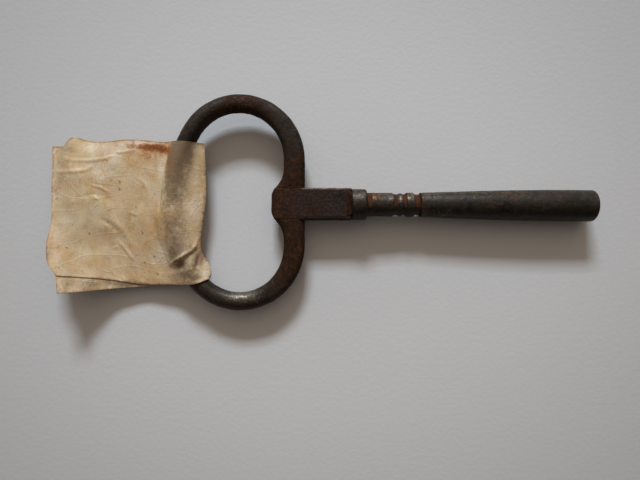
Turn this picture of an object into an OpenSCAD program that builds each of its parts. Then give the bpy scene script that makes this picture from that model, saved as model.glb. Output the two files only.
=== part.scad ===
// Forged iron clock key with a kidney-shaped bow and a folded tape label.
// The pipe lies along +X, the bow lies flat in the XY plane, and +Z is up.
// The origin is the centre of the pipe's mouth. Millimetres.

/* [Pipe] */
// Length of the pipe from its mouth to its back face
pipe_len = 47.8; // [36:0.1:60]
// Diameter of the straight stretch behind the mouth
mouth_d = 8.65; // [8.3:0.05:10]
// Diameter of the pipe at its back face
root_d = 6.7; // [6.2:0.05:7.6]
// Length of the straight stretch behind the mouth
straight_len = 7.5; // [4:0.1:14]
// Rounding of the outer edge at the mouth
mouth_round = 0.4; // [0.1:0.05:0.5]
// Rounding of the outer edge at the back face
root_round = 0.35; // [0.1:0.05:0.5]
// Width across the flats of the winding square
square_w = 5; // [4:0.05:5.3]
// Depth of the winding square
square_depth = 15; // [8:0.5:18]
// Depth of the drilled hole that goes on behind the square
pilot_depth = 4; // [1:0.5:6]
// Countersink at the mouth, measured on the radius
lead_in = 0.5; // [0.1:0.05:0.7]

/* [Turned stem] */
// Diameter of the collar against the neck
collar_d = 8.5; // [8:0.05:9.5]
// Length of the collar
collar_len = 4.1; // [2:0.1:8]
// Rounding of the collar's front edge
collar_round = 0.7; // [0.2:0.05:0.9]
// Rounding of the collar's back edge
collar_back_round = 0.3; // [0.1:0.05:0.5]
// Diameter of the plain stretch in front of the collar
stem_d = 6.5; // [6.2:0.05:7.5]
// Length of the plain stretch
plain_len = 7.2; // [4:0.1:14]
// Diameter at the bottom of the grooves
groove_d = 5.7; // [5:0.05:6]
// Width of the groove behind the bead
bead_back_groove = 1.2; // [0.6:0.1:2.5]
// Width of the bead
bead_w = 1.5; // [1:0.1:2.5]
// Height of the bead's crown above the groove
bead_h = 0.3; // [0.1:0.05:0.5]
// Width of the groove between bead and ring
middle_groove = 0.8; // [0.4:0.1:2]
// Diameter of the ring
ring_d = 6.7; // [6.2:0.05:7.5]
// Width of the ring
ring_w = 2.2; // [1.2:0.1:4]
// Width of the groove between the ring and the pipe
pipe_groove = 1.8; // [1:0.1:3]
// Diameter of the spigot that the pipe is brazed on
spigot_d = 3.8; // [3:0.05:4.2]
// Length of the spigot
spigot_len = 9; // [5:0.5:12]
// Diameter of the tenon that is brazed into the neck
tenon_d = 2.8; // [2:0.05:3]
// Length of the tenon
tenon_len = 7; // [4:0.5:10]

/* [Neck] */
// Length of the neck from the collar to the tip of its boss
neck_len = 22; // [19:0.1:30]
// Width of the neck, across the bow's plane
neck_w = 8.8; // [8:0.05:10]
// Thickness of the neck
neck_t = 4.8; // [4.2:0.05:5.6]
// Bevel along the neck's long edges
neck_bevel = 0.45; // [0.1:0.05:0.7]
// Length of the slanted corners at the tip
tip_cut_len = 0.95; // [0.4:0.05:1.4]
// Width of the slanted corners at the tip
tip_cut_w = 1.85; // [0.8:0.05:2.4]

/* [Bow] */
// Diameter of the bent bar round the lobes and the back
bar_d = 5; // [4.2:0.05:5.6]
// Width of the bar where it comes down to the neck
arm_w = 5.75; // [5:0.05:6.6]
// Outer radius of each lobe
lobe_r = 17.8; // [15:0.1:22]
// Distance of each lobe's centre from the bow's middle line
lobe_y = 11.85; // [11:0.05:15]
// Outer radius of the shallow curve along the back
back_r = 41; // [36:0.5:60]
// How far the boss stands into the bow from the bar's inner edge
boss_reach = 3.35; // [2.5:0.05:5]
// Radius of the curve by which the bar's foot widens towards the boss
foot_curve = 7.6; // [6.5:0.1:12]
// Length of the widening at the foot
foot_len = 5.3; // [3:0.1:5.5]
// How far the handmade bow sits off the stem's line
bow_shift = 0.2; // [0:0.05:0.8]

/* [Brazing] */
// Thickness of the brass between the bow's feet and the neck
braze_t = 0.2; // [0.1:0.05:0.4]
// Radial gap round the spigot and the tenon
braze_gap = 0.05; // [0.02:0.01:0.1]
// Size of the fillet between the neck's flats and the collar
collar_fillet = 1.5; // [0.5:0.1:1.7]
// Size of the fillet ring at the back of the pipe
pipe_fillet = 0.45; // [0.2:0.05:0.5]

/* [Tape label] */
// Width of the cloth tape
tape_w = 38; // [30:0.5:39]
// Thickness of the tape
tape_t = 0.35; // [0.2:0.05:0.6]
// Distance of the fold from the outer face of the bow's back
fold_in = 11.7; // [10:0.1:15]
// Length of the front leaf, from the fold to its free end
front_leaf = 40.5; // [25:0.5:50]
// Length of the back leaf, from the fold to its free end
back_leaf = 42; // [25:0.5:50]
// Turn of the front leaf's free end towards the upper lobe
front_turn = 3.2; // [0:0.1:6]
// Turn of the back leaf's free end towards the lower lobe
back_turn = 3.8; // [0:0.1:6]
// Distance of the label's middle from the stem's line
label_y = -1.8; // [-2.5:0.1:0]
// Loose room round the bar inside the label
tape_slack = 0.3; // [0.2:0.05:0.6]
// Distance from the bar to where the two leaves meet
leaf_meet = 1.4; // [1:0.1:3]
// Sag of the leaves below the bow's plane, half way along
leaf_sag = 1.8; // [0:0.1:3]
// Lift of the corner on the lower lobe's side
low_corner_lift = 5; // [0:0.1:9]
// Drop of the corner on the upper lobe's side
high_corner_drop = 5.5; // [0:0.1:7]

/* [Hidden] */
$fn = 96;
eps = 0.01;

iron = "#4b3f38";
worn_iron = "#6a635e";
brass = "#8a6234";
tape = "#cdb892";

// Stations along the stem's line, from the mouth back to the boss
pipe_x = -pipe_len;
ring_front = pipe_x - pipe_groove;
ring_back = ring_front - ring_w;
bead_front = ring_back - middle_groove;
bead_back = bead_front - bead_w;
plain_front = bead_back - bead_back_groove;
collar_front = plain_front - plain_len;
collar_back = collar_front - collar_len;
tip_x = collar_back - neck_len;

// The bow, measured from the boss
foot_y = neck_w / 2 + braze_t;
arm_in_x = tip_x + boss_reach;
arm_out_x = arm_in_x + arm_w;
foot_w = arm_w + foot_flare(foot_y);
foot_back_x = arm_out_x - foot_w;
lobe_x = arm_out_x - lobe_r;
back_x = lobe_x + sqrt(pow(back_r - lobe_r, 2) - pow(lobe_y, 2));
join_a = atan2(lobe_y, lobe_x - back_x);
bow_back_x = back_x - back_r;

// The label, measured from the bow's back
fold_x = bow_back_x + fold_in;
hold_r = bar_d / 2 + tape_slack;
meet_d = hold_r + leaf_meet;
leaf_gap = 0.08;
fold_room = 0.1;

// Steps of the swept shapes
bar_sides = 20;
foot_steps = 7;
lobe_steps = 24;
back_steps = 6;
leaf_steps = 18;
tape_steps = 11;
taper_steps = 10;

// A quarter round about centre c, from angle a0 to a1
function arc(c, r, a0, a1, n = 6) =
    [for (i = [0:n]) c + r * [cos(a0 + (a1 - a0) * i / n), sin(a0 + (a1 - a0) * i / n)]];

// Smooth step from 0 to 1
function ease(t) = let(k = max(0, min(1, t))) k * k * (3 - 2 * k);

// One cross-section of the bar: a superellipse, round at power 2 and flatter above it
function section(w, t, power) =
    [for (k = [0:bar_sides - 1])
        let(a = 360 * k / bar_sides, c = cos(a), s = sin(a))
            [sign(c) * pow(abs(c), 2 / power) * w / 2, sign(s) * pow(abs(s), 2 / power) * t / 2]];

// A ring of points: the section stands across the bar, its width along direction dir
function ring(centre, dir, w, t, power) =
    [for (p = section(w, t, power)) [centre[0] + dir[0] * p[0], centre[1] + dir[1] * p[0], p[1]]];

// Width of the foot at height y above the neck's side
function foot_flare(y) =
    let(d = max(0, foot_y + foot_len - y)) foot_curve - sqrt(pow(foot_curve, 2) - d * d);

// How far the round bar has been hammered flat: 1 at the neck, 0 from the lobe's top on
function flatness(a) = 1 - ease(a / 100);
function bar_w(a) = bar_d + (arm_w - bar_d) * flatness(a);
function bar_t(a) = bar_d + (neck_t - bar_d) * flatness(a);
function bar_power(a) = 2 + 1.4 * flatness(a);

// Half of the bow, from the foot to the middle of the back, for side 1 or -1
function half_bow(side) =
    let(ly = lobe_y + side * bow_shift)
    concat(
        [for (i = [0:foot_steps - 1])
            let(y = foot_y + (ly - foot_y) * i / foot_steps, w = arm_w + foot_flare(y))
                ring([arm_out_x - w / 2, side * y], [1, 0], w, neck_t, bar_power(0))],
        [for (i = [0:lobe_steps - 1])
            let(a = join_a * i / lobe_steps, w = bar_w(a), r = lobe_r - w / 2)
                ring([lobe_x + r * cos(a), side * (ly + r * sin(a))], [cos(a), side * sin(a)],
                    w, bar_t(a), bar_power(a))],
        [for (i = [0:back_steps])
            let(a = join_a + (180 - join_a) * i / back_steps, r = back_r - bar_d / 2)
                ring([back_x + r * cos(a), side * (r * sin(a)) + bow_shift], [cos(a), side * sin(a)],
                    bar_d, bar_d, 2)]);

// Skin over a list of rings with equal counts of points, closed by a cap at each end
module skin(rings) {
    n = len(rings[0]);
    m = len(rings);
    walls = [for (j = [0:m - 2], k = [0:n - 1], half = [0, 1])
        let(a = j * n + k, b = j * n + (k + 1) % n, c = a + n, d = b + n)
            half == 0 ? [a, b, d] : [a, d, c]];
    first = [for (k = [1:n - 2]) [0, k + 1, k]];
    last = [for (k = [1:n - 2]) [(m - 1) * n, (m - 1) * n + k, (m - 1) * n + k + 1]];
    polyhedron([for (r = rings, p = r) p], concat(walls, first, last));
}

// The bow: one bar bent round, its two flattened feet facing the neck
module bow() {
    upper = half_bow(1);
    lower = half_bow(-1);
    rest = [for (j = [len(lower) - 2:-1:0]) lower[j]];
    color(iron) skin(concat(upper, rest));
}

// Plan of the neck, with the slanted corners of its boss
module neck_plan() {
    tip_w = neck_w / 2 - tip_cut_w;
    polygon([
        [collar_back, -neck_w / 2],
        [collar_back, neck_w / 2],
        [tip_x + tip_cut_len, neck_w / 2],
        [tip_x, tip_w + bow_shift],
        [tip_x, -tip_w + bow_shift],
        [tip_x + tip_cut_len, -neck_w / 2]
    ]);
}

// A rectangle a by b with its corners cut by c
module bevelled(a, b, c) {
    polygon([
        [-a / 2 + c, -b / 2], [a / 2 - c, -b / 2], [a / 2, -b / 2 + c], [a / 2, b / 2 - c],
        [a / 2 - c, b / 2], [-a / 2 + c, b / 2], [-a / 2, b / 2 - c], [-a / 2, -b / 2 + c]
    ]);
}

// The neck's bar: its long edges are bevelled, but left square where the bow's feet stand
module neck_bar() {
    translate([collar_back, 0, 0]) rotate([0, -90, 0]) linear_extrude(neck_len)
        bevelled(neck_t, neck_w, neck_bevel);
    translate([foot_back_x, -neck_w / 2, -neck_t / 2])
        cube([foot_w - foot_corner, neck_w, neck_t]);
}
foot_corner = 1.2;

// The neck: a flat forged bar, bevelled along its edges and round its boss
module neck() {
    long = neck_len + 2 * neck_bevel;
    color(iron) difference() {
        intersection() {
            translate([0, 0, -neck_t / 2]) linear_extrude(neck_t) neck_plan();
            neck_bar();
            translate([tip_x + long / 2, neck_w / 2, 0]) rotate([90, 0, 0]) linear_extrude(neck_w)
                bevelled(long, neck_t, neck_bevel);
        }
        translate([collar_back - tenon_len - braze_gap, 0, 0]) rotate([0, 90, 0])
            cylinder(d = tenon_d + 2 * braze_gap, h = tenon_len + braze_gap + 1);
    }
}

// Outline of the stem: distance along the key, then radius, turned round the key's axis
function stem_outline() = concat(
    [[collar_back - tenon_len, 0], [collar_back - tenon_len, tenon_d / 2], [collar_back, tenon_d / 2]],
    arc([collar_back + collar_back_round, collar_d / 2 - collar_back_round], collar_back_round, 180, 90),
    arc([collar_front - collar_round, collar_d / 2 - collar_round], collar_round, 90, 0),
    [[collar_front, stem_d / 2], [plain_front - stem_bevel, stem_d / 2],
     [plain_front, stem_d / 2 - stem_bevel], [plain_front, groove_d / 2],
     [bead_back, groove_d / 2]],
    [for (i = [1:bead_steps - 1])
        let(t = i / bead_steps) [bead_back + bead_w * t, groove_d / 2 + bead_h * sin(180 * t)]],
    [[bead_front, groove_d / 2], [ring_back, groove_d / 2]],
    arc([ring_back + ring_round, ring_d / 2 - ring_round], ring_round, 180, 90, 4),
    arc([ring_front - ring_round, ring_d / 2 - ring_round], ring_round, 90, 0, 4),
    [[ring_front, groove_d / 2], [pipe_x, groove_d / 2], [pipe_x, spigot_d / 2],
     [pipe_x + spigot_len, spigot_d / 2], [pipe_x + spigot_len, 0]]);
stem_bevel = 0.2;
ring_round = 0.3;
bead_steps = 10;

// The stem: one turned piece with tenon, collar, bead, ring and spigot
module stem() {
    color(worn_iron) rotate([0, 90, 0]) rotate_extrude()
        polygon([for (p = stem_outline()) [p[1], p[0]]]);
}

// Outline of the pipe's outside, swelling from the back face to the straight stretch
function pipe_outline() = concat(
    [[pipe_x, 0]],
    arc([pipe_x + root_round, root_d / 2 - root_round], root_round, 180, 90, 4),
    [for (i = [1:taper_steps])
        let(t = i / taper_steps)
            [pipe_x + root_round + (pipe_len - straight_len - root_round) * t,
             root_d / 2 + (mouth_d - root_d) / 2 * sin(90 * t)]],
    arc([-mouth_round, mouth_d / 2 - mouth_round], mouth_round, 90, 0, 4),
    [[0, 0]]);

// The pipe: swelling barrel with the winding square in its mouth
module pipe() {
    pilot_r = square_w / 2 + 0.1;
    color(worn_iron) difference() {
        rotate([0, 90, 0]) rotate_extrude()
            polygon([for (p = pipe_outline()) [p[1], p[0]]]);
        translate([-square_depth, -square_w / 2, -square_w / 2])
            cube([square_depth + 1, square_w, square_w]);
        translate([-square_depth - pilot_depth, 0, 0]) rotate([0, 90, 0])
            cylinder(r = pilot_r, h = pilot_depth + eps);
        translate([-square_depth - pilot_depth - pilot_r * drill_slope, 0, 0]) rotate([0, 90, 0])
            cylinder(r1 = 0, r2 = pilot_r, h = pilot_r * drill_slope);
        translate([-lead_in, 0, 0]) rotate([0, 90, 0])
            cylinder(r1 = square_w / 2, r2 = square_w / 2 + 2 * lead_in, h = 2 * lead_in);
        translate([pipe_x - 1, 0, 0]) rotate([0, 90, 0])
            cylinder(d = spigot_d + 2 * braze_gap, h = spigot_len + braze_gap + 1);
    }
}
drill_slope = 0.6;

// The brazing at the bow: a layer of brass under each foot, filed flush with it
module bow_braze() {
    color(brass) for (side = [1, -1])
        translate([arm_out_x - foot_w / 2, side * (neck_w / 2 + braze_t / 2), 0])
            rotate([90, 0, 0]) linear_extrude(braze_t, center = true)
                polygon(section(foot_w, neck_t, bar_power(0)));
}

// The brazing at the collar: a hollow fillet on each flat of the neck
module collar_braze() {
    color(brass) for (side = [1, -1]) intersection() {
        translate([collar_back, 0, side * neck_t / 2]) rotate([90, 0, 0])
            linear_extrude(neck_w - 2 * neck_bevel, center = true)
                polygon(concat([[0, 0]],
                    arc([-collar_fillet, side * collar_fillet], collar_fillet, -90 * side, 0, 8)));
        translate([collar_back - collar_fillet, 0, 0]) rotate([0, 90, 0])
            cylinder(d = collar_d - 2 * collar_back_round, h = collar_fillet);
    }
}

// The brazing at the pipe: a fillet ring on the groove, against the pipe's back face
module pipe_braze() {
    inner = groove_d / 2;
    outer = inner + pipe_fillet;
    color(brass) rotate([0, 90, 0]) rotate_extrude()
        polygon(concat([[inner, pipe_x]],
            arc([outer, pipe_x - pipe_fillet], pipe_fillet, 90, 180, 6)));
}

// Signed distance from the bar's middle line, positive towards the inside of the bow
function from_bar(x, y) =
    let(h = abs(y - bow_shift))
    atan2(h, x - back_x) >= join_a
        ? back_r - bar_d / 2 - norm([x - back_x, h])
        : lobe_r - bar_d / 2 - norm([x - lobe_x, h - lobe_y]);

// Where the fold lies at height y: a straight line, pushed out where the lobe's bar comes near it
function fold_at(y) =
    let(clear = lobe_r - bar_d / 2 - hold_r - fold_room,
        h = abs(y - bow_shift) - lobe_y)
    h <= 0 ? fold_x : max(fold_x, lobe_x - sqrt(max(0, clear * clear - h * h)));

// Half height of the tunnel round the bar, at distance d from the bar's middle line,
// with the tape drawn straight from the bar to a point at distance reach
function tunnel(d, reach) =
    let(touch = hold_r * hold_r / reach)
    d >= reach ? 0
    : d <= touch ? sqrt(max(0, hold_r * hold_r - d * d))
    : sqrt(hold_r * hold_r - touch * touch) * (reach - d) / (reach - touch);

// Height of the surface that the two leaves share
function leaf_height(x, y) =
    let(q = max(0, -from_bar(x, y) - meet_d),
        t = min(1, q / (front_leaf - fold_in - leaf_meet)),
        low = (1 - 2 * (y - label_y) / tape_w) / 2)
    t * t * t * (low_corner_lift * low - high_corner_drop * (1 - low)) - leaf_sag * sin(180 * t);

// A point of the tape: u along a leaf from the fold, v across the tape, face 1 or -1
function tape_point(u, v, side, out) =
    let(turn = side > 0 ? front_turn : -back_turn,
        edge_x = fold_at(label_y + v),
        stretch = 1 + (edge_x - fold_x) / front_leaf,
        x = edge_x - u * stretch * cos(turn),
        y = label_y + v + u * sin(turn),
        d = from_bar(x, y),
        reach = max(hold_r + fold_room, from_bar(edge_x, label_y + v)),
        h = d >= 0 ? tunnel(min(d, reach), reach) : tunnel(min(-d, meet_d), meet_d),
        edge = u == 0 ? 0.7 : 1)
    [x + (u == 0 ? out * tape_t * edge : 0), y,
     leaf_height(x, y) + side * (h + leaf_gap / 2 + out * tape_t * edge)];

// One lengthwise line of the tape, from the front leaf's end round the fold to the back leaf's end
function tape_line(v, out) = concat(
    [for (i = [leaf_steps:-1:0]) tape_point(front_leaf * pow(i / leaf_steps, 1.1), v, 1, out)],
    [for (i = [0:leaf_steps]) tape_point(back_leaf * pow(i / leaf_steps, 1.1), v, -1, out)]);

// The label: one strip of cloth tape folded round the bow's back and stuck to itself
module tape_label() {
    across = [for (j = [0:tape_steps]) tape_w * (j / tape_steps - 0.5)];
    loops = [for (v = across)
        let(inner = tape_line(v, 0), outer = tape_line(v, 1))
            concat(outer, [for (i = [len(inner) - 1:-1:0]) inner[i]])];
    n = len(loops[0]);
    m = len(loops);
    half = n / 2;
    walls = [for (j = [0:m - 2], k = [0:n - 1], t = [0, 1])
        let(a = j * n + k, b = j * n + (k + 1) % n, c = a + n, d = b + n)
            t == 0 ? [a, d, b] : [a, c, d]];
    first = [for (k = [0:half - 2], t = [0, 1])
        let(a = k, b = k + 1, c = n - 1 - k, d = n - 2 - k)
            t == 0 ? [a, b, d] : [a, d, c]];
    last = [for (f = first) [f[0] + (m - 1) * n, f[2] + (m - 1) * n, f[1] + (m - 1) * n]];
    color(tape) polyhedron([for (l = loops, p = l) p], concat(walls, first, last));
}

bow();
neck();
stem();
pipe();
bow_braze();
collar_braze();
pipe_braze();
tape_label();
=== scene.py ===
"""A forged iron clock key with a folded cloth tape label, lying on a pale table.

Everything is in metres, in the key's own frame: the pipe lies along +X and the origin is
the centre of its mouth. Lengths are written in millimetres and multiplied by MM.
"""
import math

import bmesh
import bpy
import numpy as np
from mathutils import Euler, Matrix, Vector, noise


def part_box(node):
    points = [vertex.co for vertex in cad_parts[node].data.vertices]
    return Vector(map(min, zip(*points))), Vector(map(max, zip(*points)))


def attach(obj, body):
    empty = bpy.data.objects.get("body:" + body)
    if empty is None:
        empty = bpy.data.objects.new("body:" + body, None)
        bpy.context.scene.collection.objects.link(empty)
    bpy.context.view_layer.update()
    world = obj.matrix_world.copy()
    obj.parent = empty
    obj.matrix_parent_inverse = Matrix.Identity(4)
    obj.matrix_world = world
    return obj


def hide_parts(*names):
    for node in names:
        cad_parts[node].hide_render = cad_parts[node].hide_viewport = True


MM = 0.001

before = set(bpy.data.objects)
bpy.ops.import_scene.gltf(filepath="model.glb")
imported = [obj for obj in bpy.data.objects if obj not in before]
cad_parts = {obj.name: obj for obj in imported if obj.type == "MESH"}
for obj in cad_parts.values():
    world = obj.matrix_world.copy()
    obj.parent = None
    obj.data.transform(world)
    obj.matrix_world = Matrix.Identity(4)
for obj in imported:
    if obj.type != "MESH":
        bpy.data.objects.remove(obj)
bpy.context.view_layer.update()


def tint(red, green, blue):
    """A colour from the usual 0 to 255 values, as the shader wants it."""
    def linear(value):
        value /= 255
        return value / 12.92 if value <= 0.04045 else ((value + 0.055) / 1.055) ** 2.4
    return (linear(red), linear(green), linear(blue), 1.0)


# The photograph's width and focal length in pixels, the camera's height over the table, and how far
# the middle of the mouth lies to the right of the picture's middle, above it and over the table
PHOTO_WIDE = 640
FOCAL_PX = 490
CAMERA_HEIGHT = 139.94 * MM
MOUTH_RIGHT = 75.3 * MM
MOUTH_UP = 9.45 * MM
MOUTH_HEIGHT = 4.33 * MM

# How the key lies: upper lobe raised, bow's end raised, mouth turned down the picture
ROLL = math.radians(2.0)
PITCH = math.radians(0.4)
YAW = math.radians(-0.29)
TABLE = Euler((ROLL, PITCH, YAW)).to_matrix().transposed()

# The paper: its size, how far its paler middle reaches across and up the picture, and its tones. The
# paler middle and darker edges are a painted pool of light that falls off towards the edges
PAPER_SIZE = 4
PAPER_ACROSS = 150 * MM
PAPER_UP = 130 * MM
PAPER_LIT_MIDDLE = tint(180, 180, 181)
PAPER_CLOUD = tint(168, 168, 170)
PAPER_SHADED_EDGE = tint(153, 153, 154)

# The soft window light: where it stands, seen from the picture's middle, and its size and strength
LIGHT_RISE = math.radians(29)
LIGHT_SIDE = math.radians(6.5)
LIGHT_AWAY = 1.25
LIGHT_WIDE = 0.34
LIGHT_TALL = 0.17
LIGHT_LEVEL = 4.06
LIGHT_COLOUR = (0.91, 1.005, 1.09)

# The room round the window: dim overhead, pale along the horizon, bright on the window's side
ROOM_TOP = 0.07
ROOM_HORIZON = 0.335
ROOM_HORIZON_SPREAD = 0.35
ROOM_WINDOW = 1.26
ROOM_WINDOW_RISE = math.radians(45)
ROOM_WINDOW_FOCUS = 3.5
ROOM_TINT = (1.0, 0.91, 0.83, 1)
WINDOW_TINT = (1.0, 0.8, 0.62, 1)

# Stations of the key in millimetres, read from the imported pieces
neck_low, neck_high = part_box("neck")
COLLAR_BACK = neck_high.x / MM
NECK_TIP = neck_low.x / MM
PIPE_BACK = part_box("pipe")[0].x / MM
BOW_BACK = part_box("bow")[0].x / MM

# The seats of the bow's feet: the neck's side, the feet's ends beside it, and where the seats begin
# and end along the neck
NECK_SIDE = 4.4
FOOT_END = 4.6
FEET_BACK = -87.3
FEET_FRONT = -80.6

# Two places nearer than this, in millimetres, count as one
NEAR = 0.01


def activate(piece):
    """Selects one piece alone and makes it the active one."""
    bpy.ops.object.select_all(action="DESELECT")
    piece.select_set(True)
    bpy.context.view_layer.objects.active = piece


def edit(piece):
    """Opens one piece alone in edit mode."""
    activate(piece)
    bpy.ops.object.mode_set(mode="EDIT")


def pick(piece, kind, rule):
    """In edit mode, selects the vertices, edges or faces that a rule names, and nothing else."""
    bpy.ops.mesh.select_mode(type=kind)
    bpy.ops.mesh.select_all(action="DESELECT")
    mesh = bmesh.from_edit_mesh(piece.data)
    for part in {"VERT": mesh.verts, "EDGE": mesh.edges, "FACE": mesh.faces}[kind]:
        part.select = rule(part)
    mesh.select_flush(True)
    bmesh.update_edit_mesh(piece.data)


def face_outwards():
    """In edit mode, turns every face of a closed piece outwards and goes back to object mode."""
    bpy.ops.mesh.select_all(action="SELECT")
    bpy.ops.mesh.normals_make_consistent(inside=False)
    bpy.ops.object.mode_set(mode="OBJECT")


def modify(piece, kind, **settings):
    """Adds one modifier to a piece and applies it."""
    activate(piece)
    modifier = piece.modifiers.new(kind.lower(), kind)
    for name, value in settings.items():
        setattr(modifier, name, value)
    bpy.ops.object.modifier_apply(modifier=modifier.name)


def knit(piece, grain, passes):
    """Makes one even skin of a piece, with cells of one size in millimetres, and smooths it."""
    modify(piece, "REMESH", mode="VOXEL", voxel_size=grain * MM)
    modify(piece, "SMOOTH", factor=0.5, iterations=passes)


def roughen(piece, group, *lumps):
    """Pushes a surface in and out by soft lumps, each kind by its size and height in millimetres."""
    for size, height in lumps:
        texture = bpy.data.textures.new(piece.name + "_lumps", "CLOUDS")
        texture.noise_scale = size * MM
        texture.noise_depth = 2
        modify(piece, "DISPLACE", texture=texture, texture_coords="LOCAL", strength=height * MM,
               mid_level=0.5, vertex_group=group)


def weigh(piece, name, rule):
    """Makes a vertex group whose weights follow a rule of the point's place in millimetres."""
    group = piece.vertex_groups.new(name=name)
    for vertex in piece.data.vertices:
        group.add([vertex.index], rule(vertex.co / MM), "REPLACE")


def paint(piece, name, rule):
    """Writes one number per point, by a rule of its place in millimetres, for the material."""
    layer = piece.data.attributes.new(name, "FLOAT", "POINT")
    layer.data.foreach_set("value", [rule(vertex.co / MM) for vertex in piece.data.vertices])


def step(low, high, value):
    """A smooth step from 0 at low to 1 at high."""
    t = min(1.0, max(0.0, (value - low) / (high - low)))
    return t * t * (3 - 2 * t)


def spots(place, *many):
    """Soft round spots added up, each by its strength, its centre and the radius where it ends."""
    return sum(much * (1 - step(0, radius, (place - Vector(centre)).length))
               for much, centre, radius in many)


class Nodes:
    """A tree of shader nodes, with a short call for each kind of node that is added to it."""

    def __init__(self, tree):
        self.nodes = tree.nodes
        self.links = tree.links

    def feed(self, socket, value):
        """Links a socket to another node's output, or sets it to a plain value."""
        if isinstance(value, bpy.types.NodeSocket):
            self.links.new(value, socket)
        else:
            socket.default_value = value

    def node(self, kind, inputs, output, **settings):
        """Adds a node with its inputs fed, and gives back one of its outputs."""
        made = self.nodes.new(kind)
        for name, value in settings.items():
            setattr(made, name, value)
        for name, value in inputs.items():
            self.feed(made.inputs[name], value)
        return made.outputs[output]

    def maths(self, operation, a, b):
        """Works out one number from two."""
        return self.node("ShaderNodeMath", {0: a, 1: b}, 0, operation=operation)

    def scaled(self, value, share):
        """A number times a share."""
        return self.maths("MULTIPLY", value, share)


class Finish(Nodes):
    """A material and the nodes that make its finish. Sizes are in millimetres."""

    def __init__(self, name):
        self.material = bpy.data.materials.new(name)
        self.material.use_nodes = True
        super().__init__(self.material.node_tree)
        self.shader = next(n for n in self.nodes if n.type == "BSDF_PRINCIPLED")
        self.place = self.node("ShaderNodeTexCoord", {}, "Object")

    def moved(self, place, **inputs):
        """A place after a shift (Location) or a stretch (Scale)."""
        return self.node("ShaderNodeMapping", {"Vector": place, **inputs}, "Vector")

    def noise(self, size, detail=3.0, roughness=0.5, shift=0.0, stretch=(1, 1, 1)):
        """Random clouds, from 0 to 1, with lumps of one size."""
        place = self.moved(self.place, Location=(shift, shift, shift), Scale=stretch)
        return self.node("ShaderNodeTexNoise",
                         {"Vector": place, "Scale": 1 / (size * MM), "Detail": detail,
                          "Roughness": roughness}, "Fac")

    def mask(self, value, low, high):
        """A smooth step from 0 at low to 1 at high, or back down where low is above high."""
        start, end = (0.0, 1.0) if low < high else (1.0, 0.0)
        return self.node("ShaderNodeMapRange",
                         {"Value": value, "From Min": min(low, high), "From Max": max(low, high),
                          "To Min": start, "To Max": end}, "Result",
                         interpolation_type="SMOOTHSTEP")

    def painted(self, name):
        """The numbers that paint() wrote on a piece under a name."""
        return self.node("ShaderNodeAttribute", {}, "Fac", attribute_name=name)

    def mix(self, factor, a, b):
        """Blends two colours."""
        return self.node("ShaderNodeMix", {0: factor, 6: a, 7: b}, 2, data_type="RGBA")

    def blend(self, factor, a, b):
        """Blends two numbers."""
        return self.node("ShaderNodeMix", {0: factor, 2: a, 3: b}, 0, data_type="FLOAT")

    def coats(self, colour, *layers):
        """Colours laid over one another, each by where it covers, how thickly and its colour."""
        for cover, share, over in layers:
            colour = self.mix(self.scaled(cover, share), colour, over)
        return colour

    def bump(self, height, strength, distance, **under):
        """Raises the surface by a pattern, over another one where Normal names it."""
        return self.node("ShaderNodeBump", {"Height": height, "Strength": strength,
                                            "Distance": distance * MM, **under}, "Normal")

    def set(self, **sockets):
        """Feeds the shader's own sockets, with a line between the words of each name."""
        for name, value in sockets.items():
            self.feed(self.shader.inputs[name.replace("_", " ")], value)


def wear(piece, material):
    """Gives a piece its material."""
    piece.data.materials.clear()
    piece.data.materials.append(material)


# Camera, table and light

def over_table(height):
    """The place at a height over the table, straight above the picture's middle."""
    return TABLE @ Vector((-MOUTH_RIGHT, -MOUTH_UP, height - MOUTH_HEIGHT))


def make_camera():
    """The camera, straight above the picture's middle and square to the table."""
    bpy.ops.object.camera_add()
    camera = bpy.context.object
    camera.name = "camera"
    camera.data.lens = camera.data.sensor_width * FOCAL_PX / PHOTO_WIDE
    camera.data.clip_start = 10 * MM
    camera.matrix_world = Matrix.Translation(over_table(CAMERA_HEIGHT)) @ TABLE.to_4x4()
    bpy.context.scene.camera = camera


def make_table():
    """The pale paper that the key lies on, painted paler in its middle and darker towards its edges, a
    painted pool of light.
    """
    paper = Finish("pale_table")
    spread = paper.moved(paper.place, Scale=(1 / PAPER_ACROSS, 1 / PAPER_UP, 0))
    middle = paper.node("ShaderNodeTexGradient", {"Vector": spread}, "Fac", gradient_type="SPHERICAL")
    # Painted pool of light: the paper is painted paler in its middle and darker towards its edges
    tone = paper.mix(paper.mask(middle, 0.0, 0.75), PAPER_SHADED_EDGE, PAPER_LIT_MIDDLE)
    tone = paper.coats(tone, (paper.noise(30, 2), 0.2, PAPER_CLOUD))
    paper.set(Base_Color=tone, Roughness=0.9, Specular_IOR_Level=0.2,
              Normal=paper.bump(paper.noise(1.2), 0.25, 0.2))
    bpy.ops.mesh.primitive_plane_add(size=PAPER_SIZE)
    table = bpy.context.object
    table.name = "table"
    table.matrix_world = Matrix.Translation(over_table(0)) @ TABLE.to_4x4()
    wear(table, paper.material)


def make_light():
    """The window's soft light, from the top of the picture and a little from its left."""
    away = Vector((-math.sin(LIGHT_SIDE) * math.cos(LIGHT_RISE),
                   math.cos(LIGHT_SIDE) * math.cos(LIGHT_RISE), math.sin(LIGHT_RISE)))
    bpy.ops.object.light_add(type="AREA")
    lamp = bpy.context.object
    lamp.name = "window_light"
    lamp.data.shape = "RECTANGLE"
    lamp.data.size = LIGHT_WIDE
    lamp.data.size_y = LIGHT_TALL
    lamp.data.color = LIGHT_COLOUR
    lamp.data.energy = LIGHT_LEVEL * math.pi * LIGHT_AWAY ** 2
    direction = TABLE @ away
    lamp.location = over_table(0) + direction * LIGHT_AWAY
    lamp.rotation_euler = direction.to_track_quat("Z", "Y").to_euler()


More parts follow.
